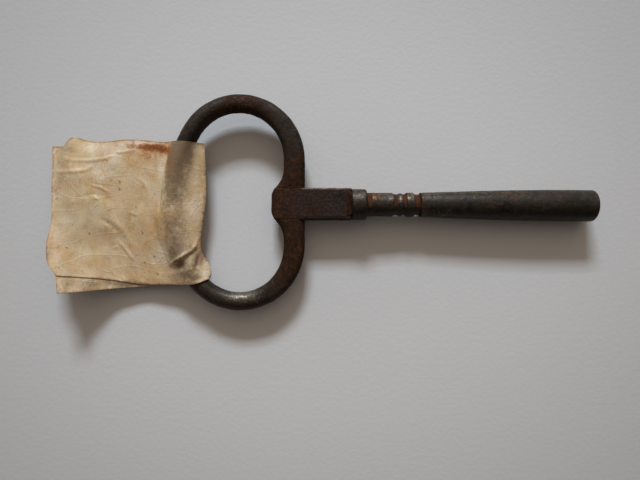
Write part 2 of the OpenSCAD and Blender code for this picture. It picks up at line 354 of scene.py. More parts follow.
def make_room():
    """The light that comes from the room itself, by direction alone."""
    world = bpy.data.worlds.new("room")
    bpy.context.scene.world = world
    world.use_nodes = True
    room = Nodes(world.node_tree)
    room.nodes.clear()
    direction = room.node("ShaderNodeTexCoord", {}, "Generated")

    def towards(axis, power):
        """How far a direction points along an axis, from 0 to 1, raised to a power."""
        ahead = room.node("ShaderNodeVectorMath", {0: direction, 1: axis}, "Value",
                          operation="DOT_PRODUCT")
        return room.maths("POWER", room.maths("MAXIMUM", ahead, 0), power)

    up = TABLE @ Vector((0, 0, 1))
    window = TABLE @ Vector((0, math.cos(ROOM_WINDOW_RISE), math.sin(ROOM_WINDOW_RISE)))
    overhead = room.node("ShaderNodeMapRange", {"Value": towards(up, ROOM_HORIZON_SPREAD),
                                                "To Min": ROOM_HORIZON, "To Max": ROOM_TOP}, "Result")
    glow = room.scaled(towards(window, ROOM_WINDOW_FOCUS), ROOM_WINDOW)
    walls, panes = (room.node("ShaderNodeBackground", {"Color": colour, "Strength": strength}, 0)
                    for colour, strength in ((ROOM_TINT, overhead), (WINDOW_TINT, glow)))
    both = room.node("ShaderNodeAddShader", {0: walls, 1: panes}, 0)
    room.feed(room.nodes.new("ShaderNodeOutputWorld").inputs["Surface"], both)


# Finishes

# How strongly the iron's dark skin reflects
SHEEN = 0.18

# How many threads of the tape's weave lie side by side in a metre of its pattern
WEAVE = 600.0

# Colours that all the iron has in places
RUST_CRUMB = tint(74, 44, 24)
LIGHT_GRAIN = tint(92, 80, 64)
PIT = tint(13, 13, 15)
FLECK = tint(92, 76, 52)


def iron_finish(name, dark, brown, cool, red, bright, grainy):
    """Old iron: a dark skin with brown film, cool patches, rust where painted, pits, worn bare metal
    that is partly a painted sheen where it lies on lit sides, and painted shade where the painted rust
    is below nought.
    """
    iron = Finish(name)
    rust = iron.painted("rust")
    patch = iron.noise(1.7, 4, 0.6, shift=2.3)
    fine = iron.noise(0.7, 4, 0.65, shift=3.1)
    grain = iron.noise(0.6, 3, 0.7, shift=19.7)
    film = iron.mask(iron.maths("ADD", rust, iron.scaled(patch, 1.1)), 0.72, 1.15)
    mottle = iron.mask(iron.noise(0.9, 4, 0.7, shift=17.3), 0.42, 0.66)
    crumbs = iron.mask(iron.noise(1.9, 4, 0.6, shift=11.1), 0.5, 0.8)
    pits = iron.mask(iron.noise(0.6, 2, 0.5, shift=5.9), 0.38, 0.27)
    skin = iron.mix(iron.mask(iron.noise(5.5), 0.32, 0.58), dark, brown)
    skin = iron.coats(
        skin,
        # Cool patches, the dark between them, and the rust with its darker mottling and crumbs
        (iron.mask(patch, 0.5, 0.6), 0.75, cool),
        (iron.mask(fine, 0.58, 0.36), 0.7, dark),
        (film, 1, iron.coats(red, (mottle, 0.7, dark))),
        (iron.scaled(crumbs, film), 0.75, RUST_CRUMB),
        # Light and dark grain, pits and pale flecks
        (iron.scaled(iron.mask(grain, 0.54, 0.74), iron.mask(patch, 0.44, 0.6)), grainy, LIGHT_GRAIN),
        (iron.mask(grain, 0.48, 0.32), grainy, dark),
        (pits, 0.7, PIT),
        (iron.mask(iron.noise(0.7, 3, 0.6, shift=14.9), 0.66, 0.74), 0.6, FLECK),
        # Plain dark skin where the painted rust is below nought: painted shade on sides turned away from
        # the light
        (iron.mask(rust, 0, -0.5), 1, dark))
    rubbed = iron.maths("ADD", iron.scaled(iron.noise(0.5, 3, 0.6, shift=7.7), 0.9),
                        iron.scaled(patch, 0.3))
    # Bare metal where wear is painted; on the lit sides it is partly a painted sheen
    bare_and_sheen = iron.mask(iron.maths("ADD", iron.painted("wear_and_sheen"), rubbed), 0.78, 1.5)
    bump = iron.bump(iron.maths("SUBTRACT", 1.0, pits), 0.5, 0.12,
                     Normal=iron.bump(fine, 0.5, 0.1))
    iron.set(Base_Color=iron.mix(bare_and_sheen, skin, bright), Metallic=iron.scaled(bare_and_sheen, 0.9),
             Roughness=iron.blend(bare_and_sheen, iron.blend(film, 0.42, 0.65), 0.34), Normal=bump,
             Specular_IOR_Level=iron.blend(film, SHEEN, SHEEN / 5))
    return iron.material


def brass_finish(name, dark, light):
    """Old brazing brass, almost covered by orange and brown rust."""
    brass = Finish(name)
    colour = brass.mix(brass.mask(brass.noise(0.9, 4), 0.4, 0.62), dark, light)
    metal = brass.mask(brass.noise(0.5, shift=2.2), 0.7, 0.85)
    brass.set(Base_Color=brass.mix(metal, colour, tint(110, 80, 44)), Metallic=metal,
              Roughness=brass.blend(metal, 0.8, 0.4), Specular_IOR_Level=SHEEN / 3,
              Normal=brass.bump(brass.noise(0.4), 0.5, 0.1))
    return brass.material


def tape_finish():
    """Waxy cream cloth tape: faint weave, yellowed mottling, grime with painted shade, painted
    highlights, rust stains and brown specks.
    """
    tape = Finish("cloth_tape")
    tape.place = tape.moved(tape.node("ShaderNodeUVMap", {}, "UV"),
                            Scale=(TAPE_WIDE * MM, TAPE_LONG * MM, 1))
    grime_and_shade, rust, edge, pale_and_highlight, ochre, shade = (
        tape.painted(name) for name in ("grime_and_shade", "rust", "edge", "pale_and_highlight", "ochre", "shade"))
    mid = tape.noise(2.8, 4, 0.62, shift=1.7)
    fine = tape.noise(0.8, 4, 0.7, shift=4.1)
    grain = tape.noise(0.4, 2, 0.6, shift=21.3)
    warmth = tape.noise(3.6, 3, 0.6, shift=25.1)

    def uneven(value, by_mid, by_fine):
        """A painted amount, made uneven by the two finer patterns."""
        rough = tape.maths("ADD", tape.scaled(tape.maths("SUBTRACT", mid, 0.5), by_mid),
                           tape.scaled(tape.maths("SUBTRACT", fine, 0.5), by_fine))
        return tape.maths("ADD", value, rough)

    # Grime, which also carries painted shade in the pinch and under the front leaf's edge
    dirt_and_shade = tape.mask(uneven(grime_and_shade, 1.15, 1.25), 0.06, 1.2)
    layers = (
        # Greyer patches, then yellowed and bleached mottling
        (tape.mask(tape.noise(7, 3, 0.55, shift=13.7), 0.48, 0.68), 0.45, (162, 150, 126)),
        (tape.mask(mid, 0.52, 0.74), 0.6, (152, 122, 80)),
        (tape.mask(mid, 0.47, 0.26), 0.6, (194, 176, 146)),
        # Painted pale and yellowed places; some pale places are painted highlights, on the bottom flap
        # and along fold ridges
        (tape.mask(uneven(pale_and_highlight, 1.5, 1.2), 0.2, 1.2), 0.75, (208, 196, 178)),
        (tape.mask(uneven(ochre, 1.2, 0.6), 0.15, 1.1), 0.75, (160, 122, 72)),
        # Fine mottling, pinkish patches, warmer and cooler ones, and light and dark grain
        (tape.mask(fine, 0.42, 0.7), 0.3, (200, 182, 150)),
        (tape.mask(fine, 0.46, 0.28), 0.3, (138, 112, 78)),
        (tape.mask(tape.noise(6, 3, 0.6, shift=17.9), 0.5, 0.66), 0.4, (190, 158, 134)),
        (tape.mask(warmth, 0.5, 0.66), 0.45, (174, 138, 90)),
        (tape.mask(warmth, 0.48, 0.33), 0.4, (178, 164, 142)),
        (tape.mask(grain, 0.52, 0.7), 0.2, (214, 198, 168)),
        (tape.mask(grain, 0.46, 0.28), 0.3, (120, 96, 66)),
        # Browned edges, places painted evenly darker, grime together with painted shade in the pinch and
        # under the front leaf's edge, the rust's wash and its dark core, and brown specks
        (tape.mask(uneven(edge, 1.3, 1.2), 0.45, 1.05), 0.75, (120, 76, 42)),
        (shade, 1, (112, 99, 70)),
        (dirt_and_shade, 0.9, (90, 71, 48)),
        (tape.mask(uneven(rust, 1.0, 0.9), 0.12, 0.72), 0.97, (138, 76, 14)),
        (tape.mask(uneven(rust, 1.2, 2.6), 0.55, 1.2), 0.85, (88, 42, 4)),
        (tape.mask(tape.noise(1.1, 2, 0.4, shift=9.3), 0.7, 0.75), 0.7, (104, 60, 36)))
    cloth = tape.mix(tape.mask(tape.noise(9), 0.36, 0.64), tint(164, 136, 97), tint(184, 161, 125))
    colour = tape.coats(cloth, *((cover, share, tint(*over)) for cover, share, over in layers))
    warp, weft = (
        tape.node("ShaderNodeTexWave", {"Vector": tape.place, "Scale": WEAVE, "Distortion": 0.6,
                                        "Detail": 1.0}, "Fac", bands_direction=way) for way in "XY")
    bump = tape.bump(tape.maths("ADD", warp, weft), 0.1, 0.04)
    bump = tape.bump(mid, 0.3, 0.3, Normal=bump)
    for shift, stretch in ((6.6, (0.5, 1.5, 1)), (8.2, (1.6, 0.5, 1))):
        crinkle = tape.maths("SUBTRACT", tape.noise(8, 1, 0.3, shift, stretch), 0.52)
        vein = tape.mask(tape.maths("ABSOLUTE", crinkle, 0), 0.022, 0.0)
        bump = tape.bump(vein, 0.3, 0.09, Normal=bump)
    tape.set(Base_Color=colour, Roughness=tape.blend(dirt_and_shade, 0.5, 0.7), Specular_IOR_Level=0.5,
             Normal=bump)
    return tape.material


# The iron pieces

def cad_copy(node, name):
    """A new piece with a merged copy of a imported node's mesh."""
    piece = bpy.data.objects.new(name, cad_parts[node].data.copy())
    bpy.context.scene.collection.objects.link(piece)
    piece.data.materials.clear()
    edit(piece)
    bpy.ops.mesh.select_all(action="SELECT")
    bpy.ops.mesh.remove_doubles(threshold=0.002 * MM)
    bpy.ops.object.mode_set(mode="OBJECT")
    return piece


def plain_block(name, back, front, wide, thick):
    """A block from one station to another, in millimetres, that is left in edit mode."""
    bpy.ops.object.select_all(action="DESELECT")
    bpy.ops.mesh.primitive_cube_add(size=1)
    piece = bpy.context.object
    piece.name = name
    bpy.ops.object.mode_set(mode="EDIT")
    bpy.ops.transform.resize(value=((front - back) * MM, wide * MM, thick * MM))
    bpy.ops.transform.translate(value=((back + front) / 2 * MM, 0, 0))
    return piece


def shade_smooth(piece, angle):
    """Smooth shading, with the edges that turn more than an angle in degrees left sharp."""
    activate(piece)
    bpy.ops.object.shade_smooth_by_angle(angle=math.radians(angle))


def make_bow(material):
    """The bent bar: a smooth skin over the swept bar, hammered and pitted."""
    cap_rim = 0.3
    skin_loss = 0.045
    flat_enough = math.radians(60)
    bow = cad_copy("bow", "bow_ring")

    def is_cap(face):
        """Whether a face looks straight across the neck, as the closed ends of the bar do."""
        return abs(face.normal.y) > 0.99

    edit(bow)
    pick(bow, "FACE", lambda face: is_cap(face)
         and abs(abs(face.calc_center_median().y / MM) - FOOT_END) < NEAR)
    bpy.ops.mesh.dissolve_faces()
    bpy.ops.mesh.inset(thickness=cap_rim * MM)
    bpy.ops.mesh.select_all(action="SELECT")
    bpy.ops.mesh.tris_convert_to_quads(face_threshold=flat_enough, shape_threshold=flat_enough)
    pick(bow, "EDGE", lambda edge: len({is_cap(face) for face in edge.link_faces}) == 2)
    bpy.ops.transform.edge_crease(value=1)
    bpy.ops.object.mode_set(mode="OBJECT")
    modify(bow, "SUBSURF", levels=2, render_levels=2)
    weigh(bow, "swell", lambda at: step(FOOT_END, FOOT_END + 0.6, abs(at.y)))
    modify(bow, "DISPLACE", strength=skin_loss * MM, mid_level=0, vertex_group="swell")
    weigh(bow, "away_from_feet", lambda at: step(FOOT_END, FOOT_END + 1.5, abs(at.y)))
    roughen(bow, "away_from_feet", (3.5, 0.16), (0.9, 0.07))
    paint(bow, "rust", lambda at: 0.22 + spots(
        at, (0.45, (-83, -13, 0), 17), (0.4, (-82, 8, 0), 12), (0.45, (-96, 26, 0), 12)))
    # Bare metal on the upper lobe's outer edge and the lower lobe's inner side, where the bars face the
    # light: wear, and partly a painted sheen
    paint(bow, "wear_and_sheen", lambda at: 0.1 + spots(at, (0.14, (-96, 27.5, 2), 6))
          + spots(at, (0.44, (-96.5, -24.6, 2.2), 9)) * step(-28, -25.5, at.y))
    wear(bow, material)
    shade_smooth(bow, angle=50)
    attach(bow, "root")
    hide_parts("bow")
    return bow


def make_neck(material):
    """The flat forged neck: a block with a cut boss and bevelled edges, pitted on its faces."""
    cut_len = 0.95
    cut_wide = 1.85
    boss_shift = 0.2
    bevel = 0.45
    wide = (neck_high.y - neck_low.y) / MM
    thick = (neck_high.z - neck_low.z) / MM
    neck = plain_block("neck_bar", NECK_TIP, COLLAR_BACK, wide, thick)

    def pick_edges(rule):
        pick(neck, "EDGE", lambda edge: rule(edge.verts[0].co / MM, edge.verts[1].co / MM))

    def at_tip(a, b):
        return max(a.x, b.x) < NECK_TIP + NEAR

    def to_bevel(a, b):
        """Whether an edge runs along a face's border and isn't under a foot or across the neck."""
        lengthwise = abs(a.y - b.y) < NEAR
        under_foot = FEET_BACK - NEAR < min(a.x, b.x) and max(a.x, b.x) < FEET_FRONT + NEAR
        across = abs(a.y - b.y) > 1 and abs(a.x - b.x) < NEAR and a.x > NECK_TIP + 1
        return (min(a.x, b.x) < COLLAR_BACK - 0.5 and abs(a.z - b.z) < NEAR
                and not (lengthwise and under_foot) and not across)

    pick_edges(lambda a, b: at_tip(a, b) and abs(a.z - b.z) > 1)
    bpy.ops.mesh.bevel(offset=cut_len * MM, offset_type="OFFSET", segments=1)
    pick_edges(at_tip)
    tip_half = wide / 2 - cut_len
    bpy.ops.transform.resize(value=(1, (wide / 2 - cut_wide) / tip_half, 1))
    bpy.ops.transform.translate(value=(0, boss_shift * MM, 0))
    for station in (FEET_BACK, FEET_FRONT):
        bpy.ops.mesh.select_all(action="SELECT")
        bpy.ops.mesh.bisect(plane_co=(station * MM, 0, 0), plane_no=(1, 0, 0))
    pick_edges(to_bevel)
    bpy.ops.mesh.bevel(offset=bevel * MM, offset_type="OFFSET", segments=2)
    bpy.ops.object.mode_set(mode="OBJECT")
    knit(neck, grain=0.13, passes=3)

    def at_feet(at):
        """How near a place is to the feet's brazing, from 0 to 1."""
        return (step(3.6, 4.3, abs(at.y)) * step(FEET_BACK - 1.5, FEET_BACK, at.x)
                * step(FEET_FRONT + 1, FEET_FRONT, at.x))

    def rust(at):
        ahead_of_feet = step(FEET_FRONT, FEET_FRONT + 1.5, at.x)
        return (0.22 + 0.3 * step(COLLAR_BACK - 2.6, COLLAR_BACK - 0.8, at.x)
                + 0.26 * step(FEET_FRONT + 3, FEET_BACK, at.x)
                + 0.5 * step(3.5, 3.9, abs(at.y)) * step(FEET_FRONT + 0.5, FEET_FRONT, at.x)
                # Painted shade: plain dark skin along the neck's lower edge, which faces away from the
                # light
                - 0.8 * step(-2.8, -3.5, at.y) * ahead_of_feet
                + spots(at, (0.34, (-77.5, -2.2, 2.4), 3.5), (-0.16, (-70, 1, 2.4), 5)))

    weigh(neck, "away_from_joints",
          lambda at: step(COLLAR_BACK, COLLAR_BACK - 0.8, at.x) * (1 - at_feet(at)))
    roughen(neck, "away_from_joints", (4, 0.12), (0.8, 0.09))
    paint(neck, "rust", rust)
    # Bare metal only along the neck's upper edge, on the side towards the light: wear, and partly a
    # painted highlight
    paint(neck, "wear_and_sheen", lambda at: 0.08 + 0.3 * step(1.9, 2.3, abs(at.z)) * step(3.7, 4.2, at.y)
          * step(FEET_FRONT, FEET_FRONT + 1.5, at.x))
    wear(neck, material)
    shade_smooth(neck, angle=50)
    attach(neck, "root")
    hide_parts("neck")


def make_seam(material):
    """The brazing under the bow's feet: filed flush with the feet and the neck, so it lies over both."""
    spread = 3.5
    proud = 1.008
    braze = cad_copy("bow_braze", "brazed_feet")
    foot_middle = (braze.bound_box[0][0] + braze.bound_box[6][0]) / 2
    edit(braze)
    for side in (1, -1):
        pick(braze, "VERT", lambda vertex: vertex.co.y * side > 0)
        seam_y = side * (NECK_SIDE + FOOT_END) / 2
        bpy.ops.transform.resize(value=(proud, spread, proud),
                                 center_override=(foot_middle, seam_y * MM, 0))
    bpy.ops.object.mode_set(mode="OBJECT")
    knit(braze, grain=0.12, passes=8)
    roughen(braze, "", (1.2, 0.07))
    paint(braze, "rust", lambda at: 0.5 + 0.25 * step(0, -3, at.y))
    paint(braze, "wear_and_sheen", lambda at: 0.08)
    wear(braze, material)
    shade_smooth(braze, angle=50)
    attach(braze, "root")
    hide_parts("bow_braze")


def arc(centre_x, centre_r, radius, start, end, steps):
    """Stations round a quarter circle, from one angle to another in degrees."""
    turns = [math.radians(start + (end - start) * i / steps) for i in range(steps + 1)]
    return [(centre_x + radius * math.cos(a), centre_r + radius * math.sin(a)) for a in turns]


def back_corner(x, radius, rounding, steps=6):
    """Stations round a corner that faces the bow."""
    return arc(x + rounding, radius - rounding, rounding, 180, 90, steps)


def front_corner(x, radius, rounding, steps=6):
    """Stations round a corner that faces the mouth."""
    return arc(x - rounding, radius - rounding, rounding, 90, 0, steps)


def evenly(outline, spacing):
    """The same outline with extra stations, so that no step is longer than spacing."""
    fine = [outline[0]]
    for (x0, r0), (x1, r1) in zip(outline, outline[1:]):
        parts = max(1, math.ceil(math.hypot(x1 - x0, r1 - r0) / spacing))
        fine += [(x0 + (x1 - x0) * i / parts, r0 + (r1 - r0) * i / parts)
                 for i in range(1, parts + 1)]
    return fine


def turned(name, outline, sides):
    """A turned solid: a circle drawn out along the key from station to station, in millimetres."""
    bpy.ops.object.select_all(action="DESELECT")
    x, radius = outline[0]
    bpy.ops.mesh.primitive_circle_add(vertices=sides, radius=radius * MM, fill_type="NGON",
                                      location=(x * MM, 0, 0), rotation=(0, math.pi / 2, 0))
    piece = bpy.context.object
    piece.name = name
    bpy.ops.object.transform_apply(location=True, rotation=True, scale=True)
    bpy.ops.object.mode_set(mode="EDIT")
    bpy.ops.mesh.select_mode(type="EDGE")
    bpy.ops.mesh.select_all(action="SELECT")
    bpy.ops.mesh.delete(type="ONLY_FACE")
    bpy.ops.mesh.select_all(action="SELECT")
    for next_x, next_radius in outline[1:]:
        bpy.ops.mesh.extrude_edges_move(
            TRANSFORM_OT_translate={"value": ((next_x - x) * MM, 0, 0)})
        share = next_radius / radius
        bpy.ops.transform.resize(value=(1, share, share), center_override=(next_x * MM, 0, 0))
        x, radius = next_x, next_radius
    for end in (outline[0][0], outline[-1][0]):
        pick(piece, "EDGE", lambda edge: edge.is_boundary and abs(edge.verts[0].co.x / MM - end) < NEAR)
        bpy.ops.mesh.edge_face_add()
    face_outwards()
    return piece


# Sizes of the turned stem, in millimetres
TENON_R = 1.4
TENON_LEN = 7
COLLAR_R = 4.25
COLLAR_LEN = 4.1
COLLAR_BACK_ROUND = 0.3
COLLAR_FRONT_ROUND = 0.7
COLLAR_FILLET = 0.2
PLAIN_R = 3.25
PLAIN_LEN = 7.2
PLAIN_ROUND = 0.25
GROOVE_R = 2.85
BEAD_GROOVE = 1.2
BEAD_LEN = 1.5
BEAD_RISE = 0.3
MIDDLE_GROOVE = 0.8
RING_R = 3.35
RING_LEN = 2.2
RING_ROUND = 0.35
SPIGOT_R = 1.9
SPIGOT_LEN = 9
SPIGOT_PLAY = 0.05

# Sizes of the pipe, its winding square and the drilled end behind it, in millimetres
ROOT_R = 3.35
ROOT_ROUND = 0.35
MOUTH_R = 4.325
MOUTH_ROUND = 0.45
MOUTH_STRAIGHT = 7.5
SQUARE = 5
SQUARE_DEPTH = 15
DRILL_R = 2.6
DRILL_DEPTH = 4
TIP_R = 0.05
TIP_CONE = 1.56
LEAD_IN = 0.5

# How finely turned pieces are drawn: sides of the circle, and the longest step along the outline
TURNED_SIDES = 96
CUTTER_SIDES = 64
STEM_STEP = 0.3
PIPE_STEP = 0.35
BEAD_STEPS = 10
SWELL_STEPS = 16


def make_stem(material):
    """The turned stem: tenon, collar, plain stretch, grooves, bead, ring and spigot."""
    collar_front = COLLAR_BACK + COLLAR_LEN
    plain_front = collar_front + PLAIN_LEN
    bead_back = plain_front + BEAD_GROOVE
    bead_front = bead_back + BEAD_LEN
    ring_back = bead_front + MIDDLE_GROOVE
    ring_front = ring_back + RING_LEN
    bead = [(bead_back + BEAD_LEN * i / BEAD_STEPS,
             GROOVE_R + BEAD_RISE * math.sin(math.pi * i / BEAD_STEPS)) for i in range(BEAD_STEPS + 1)]
    outline = (
        [(COLLAR_BACK - TENON_LEN, TENON_R), (COLLAR_BACK, TENON_R)]
        + back_corner(COLLAR_BACK, COLLAR_R, COLLAR_BACK_ROUND)
        + front_corner(collar_front, COLLAR_R, COLLAR_FRONT_ROUND)
        + arc(collar_front + COLLAR_FILLET, PLAIN_R + COLLAR_FILLET, COLLAR_FILLET, 180, 270, 3)
        + front_corner(plain_front, PLAIN_R, PLAIN_ROUND, 4)
        + bead
        + back_corner(ring_back, RING_R, RING_ROUND)
        + front_corner(ring_front, RING_R, RING_ROUND)
        + [(ring_front, GROOVE_R), (PIPE_BACK, GROOVE_R), (PIPE_BACK, SPIGOT_R),
           (PIPE_BACK + SPIGOT_LEN, SPIGOT_R)])
    stem = turned("turned_stem", evenly(outline, STEM_STEP), TURNED_SIDES)
    weigh(stem, "showing", lambda at: step(COLLAR_BACK + 0.2, COLLAR_BACK + 0.8, at.x)
          * step(PIPE_BACK - 0.3, PIPE_BACK - 0.6, at.x))
    roughen(stem, "showing", (1.6, 0.1), (0.6, 0.05))
    sunk = ((plain_front, bead_back), (bead_front, ring_back), (ring_front, PIPE_BACK),
            (collar_front + 0.1, collar_front + 1.3))

    def sheltered(at):
        """How far a place lies in a groove or just in front of the collar, from 0 to 1."""
        return max(step(a - 0.4, a + 0.3, at.x) * step(b + 0.5, b - 0.4, at.x) for a, b in sunk)

    def rust(at):
        plain = step(collar_front, collar_front + 0.5, at.x) * step(plain_front, plain_front - 3, at.x)
        patches = 0.12 * plain + spots(at, (0.32, (collar_front + 2.2, 1.5, 2.5), 4))
        # Rust fades out towards the lower side, so the lower side is painted darker: rust, and painted
        # shade
        return 0.1 + 0.5 * sheltered(at) * step(-1.8, 0.4, at.y) + patches * step(-0.8, 1.6, at.y)

    def wear_and_sheen(at):
        plain_edge = (step(plain_front - 0.6, plain_front - 0.3, at.x) * step(0, 1.5, at.y)
                      * step(plain_front + 0.2, plain_front, at.x))
        # More bare metal on the upper side towards the light, and at spots on the collar, bead and ring:
        # wear, and partly a painted sheen
        rubbed = (0.03 + 0.29 * step(-0.4, 1.7, at.y) + 0.1 * plain_edge
                  + 0.06 * step(plain_front - 0.5, plain_front + 1, at.x)
                  + spots(at, (0.15, (bead_back + 0.7, 1.7, 2.4), 0.9),
                          (0.12, (ring_back + 0.3, 2, 2.6), 0.9),
                          (-0.2, (collar_front - 0.3, 1.5, 3.6), 1.6),
                          (0.2, (collar_front + 1.8, 1.7, 2.7), 0.9)))
        return rubbed * (1 - 0.75 * sheltered(at))

    paint(stem, "rust", rust)
    paint(stem, "wear_and_sheen", wear_and_sheen)
    wear(stem, material)
    shade_smooth(stem, angle=45)
    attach(stem, "root")
    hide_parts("stem")


def make_pipe(material):
    """The pipe: a swelling barrel, cut by the winding square, its drilled end and the spigot's bore."""
    run = -PIPE_BACK - MOUTH_STRAIGHT - ROOT_ROUND
    swell = [(PIPE_BACK + ROOT_ROUND + run * i / SWELL_STEPS,
              ROOT_R + (MOUTH_R - ROOT_R) * math.sin(math.pi / 2 * i / SWELL_STEPS))
             for i in range(1, SWELL_STEPS + 1)]
    outline = (back_corner(PIPE_BACK, ROOT_R, ROOT_ROUND, 4) + swell
               + front_corner(0, MOUTH_R, MOUTH_ROUND, 5))
    pipe = turned("winding_pipe", evenly(outline, PIPE_STEP), TURNED_SIDES)
    weigh(pipe, "showing", lambda at: step(PIPE_BACK, PIPE_BACK + 0.8, at.x)
          * step(-0.05, -0.5, at.x))
    roughen(pipe, "showing", (2.5, 0.1), (0.7, 0.05))

    broach = plain_block("cutter", -SQUARE_DEPTH, 1, SQUARE, SQUARE)
    bpy.ops.object.mode_set(mode="OBJECT")
    drill_end = -SQUARE_DEPTH - DRILL_DEPTH
    bore_r = SPIGOT_R + SPIGOT_PLAY
    drill = [(drill_end - TIP_CONE, TIP_R), (drill_end, DRILL_R), (-SQUARE_DEPTH + 0.5, DRILL_R)]
    countersink = [(-LEAD_IN, SQUARE / 2), (LEAD_IN, SQUARE / 2 + 2 * LEAD_IN)]
    bore = [(PIPE_BACK - 1, bore_r), (PIPE_BACK + SPIGOT_LEN + SPIGOT_PLAY, bore_r)]
    cut(pipe, broach)
    for hole in (drill, countersink, bore):
        cut(pipe, turned("cutter", hole, CUTTER_SIDES))

    def rust(at):
        # Painted shade: plain dark skin over the part towards the mouth, below its upper edge; rust
        # patches only on the upper side
        shaded_side = step(-22, -12, at.x) * step(2.4, 0.4, at.y) * step(-1, -3, at.x)
        mouth_edge = step(4.0, 3.4, math.hypot(at.y, at.z)) * step(-1, -0.2, at.x)
        patches = spots(at, (0.2, (-24, 2.5, 3), 8), (0.18, (-9, 2.5, 3), 9), (0.2, (-40, 1, 3), 3),
                        (0.2, (-46.5, 2, 2), 2))
        return (0.06 - 0.3 * shaded_side + step(-1.5, 0.5, at.y) * patches + 0.5 * mouth_edge
                + 0.8 * step(PIPE_BACK + 0.35, PIPE_BACK + 0.1, at.x))

    def wear_and_sheen(at):
        # More bare metal on the upper side and top edge towards the light, on the lower side near the
        # root, and at a glint on the back edge: wear, and partly a painted sheen and reflection
        lit_side = 0.12 * step(-0.5, 1.5, at.y) * (1 - 0.4 * step(-22, -16, at.x))
        towards_root = (0.05 + 0.06 * step(-20, -36, at.x)) * step(0.8, 2.6, at.y)
        top_edge_sheen = 0.08 * step(2.6, 3.6, at.y)
        lower_side_sheen = 0.25 * step(-34, -42, at.x) * step(-0.8, -1.6, at.y)
        return (0.02 + lit_side + towards_root + top_edge_sheen + lower_side_sheen
                + spots(at, (0.06, (-46, 2, 2.5), 6), (0.4, (-48.2, 1.8, 2.7), 0.9)))

    paint(pipe, "rust", rust)
    paint(pipe, "wear_and_sheen", wear_and_sheen)
    wear(pipe, material)
    shade_smooth(pipe, angle=45)
    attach(pipe, "root")
    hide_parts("pipe")


def cut(piece, cutter):
    """Cuts one solid out of another and removes the cutter."""
    modify(piece, "BOOLEAN", operation="DIFFERENCE", object=cutter, solver="EXACT")
    bpy.data.objects.remove(cutter)


# The label: one strip of cloth tape, folded round the bow's back and pressed together

# The bow's middle line under the label, in millimetres, from its bar and its outer radii
BAR_R = 2.5
LOBE_OUTER_R = 17.8
BACK_OUTER_R = 41
BOW_SHIFT = 0.2
LOBE_Y = 11.85
LOBE_R = LOBE_OUTER_R - BAR_R
BACK_R = BACK_OUTER_R - BAR_R
BACK_X = BOW_BACK + BACK_OUTER_R
LOBE_X = BACK_X - math.sqrt((BACK_R - LOBE_R) ** 2 - LOBE_Y ** 2)
JOIN_A = math.atan2(LOBE_Y, LOBE_X - BACK_X)

# The tape: its sizes, its middle across the bow, how far it stands off the bar's middle line and how
# far the leaves lie apart
LABEL_Y = -1.8
TAPE_WIDE = 38
TAPE_LONG = 88
TAPE_THICK = 0.22
HOLD_R = BAR_R + 0.35
LEAF_GAP = 0.06

# How far the leaves run on from the bar, how far their lower corner rises and their upper one drops
# at the end, and how far they sag halfway
LEAF_RUN = 28
LOW_RISE = 5
TOP_DROP = 5.5
LEAF_SAG = 1.8

# Outlines of the two leaves. The fold and the free ends run from the top of the picture down. The long
# edges run from the fold outwards, between the corners that the fold and the free ends give them.
FOLD_EDGE = [(-107.3, 16.4), (-107.0, 10.5), (-106.9, 5.9), (-106.8, 3.2), (-107.0, 0.5),
             (-107.7, -4.3), (-108.2, -7.8), (-108.4, -10.5), (-108.2, -13.0), (-107.1, -15.2),
             (-105.9, -17.2), (-105.4, -19.3), (-105.9, -20.8)]
FRONT_END = [(-146.3, 18.8), (-147.4, 17.4), (-148.4, 15.6), (-150.1, 14.4), (-150.3, 9.0),
             (-150.0, 3.4), (-148.8, -4.4), (-149.1, -11.0), (-148.6, -14.9), (-147.3, -17.6),
             (-145.3, -19.6)]
FRONT_TOP = [(-115.7, 16.8), (-119.5, 16.9), (-124.0, 17.5), (-129.6, 17.7), (-134.2, 17.2),
             (-138.0, 17.2), (-141.4, 17.8), (-144.0, 18.6)]
FRONT_LOW = [(-110.2, -22.0), (-118.4, -22.4), (-125.9, -22.3), (-135.3, -20.9)]
BACK_END = [(-151.4, 16.2), (-149.2, 0), (-144.9, -24.2)]
BACK_TOP = [(-125, 16.3)]
BACK_LOW = [(-113, -22.3), (-124.5, -23.1), (-135.6, -23.8)]

# How finely the tape is drawn: rows along each leaf, columns across it, and rows of the plan that the
# leaf's rows are spaced from
LEAF_ROWS = 150
COLUMNS = 138
PLAN_ROWS = 460


def spaced(line, count):
    """The same line of places with its points evenly spaced."""
    run = np.concatenate([[0], np.cumsum(np.linalg.norm(np.diff(line, axis=0), axis=1))])
    want = np.linspace(0, run[-1], count)
    return np.stack([np.interp(want, run, values) for values in line.T], 1)


def along(points, count):
    """Evenly spaced places on a smooth curve through points."""
    p = np.array(points, float)
    ends = np.vstack([2 * p[0] - p[1], p, 2 * p[-1] - p[-2]])
    t = np.linspace(0, 1, 24, endpoint=False)[:, None]
    spans = [0.5 * (2 * b + (c - a) * t + (2 * a - 5 * b + 4 * c - d) * t ** 2
                    + (3 * b - a - 3 * c + d) * t ** 3)
             for a, b, c, d in zip(ends, ends[1:], ends[2:], ends[3:])]
    return spaced(np.vstack(spans + [p[-1:]]), count)


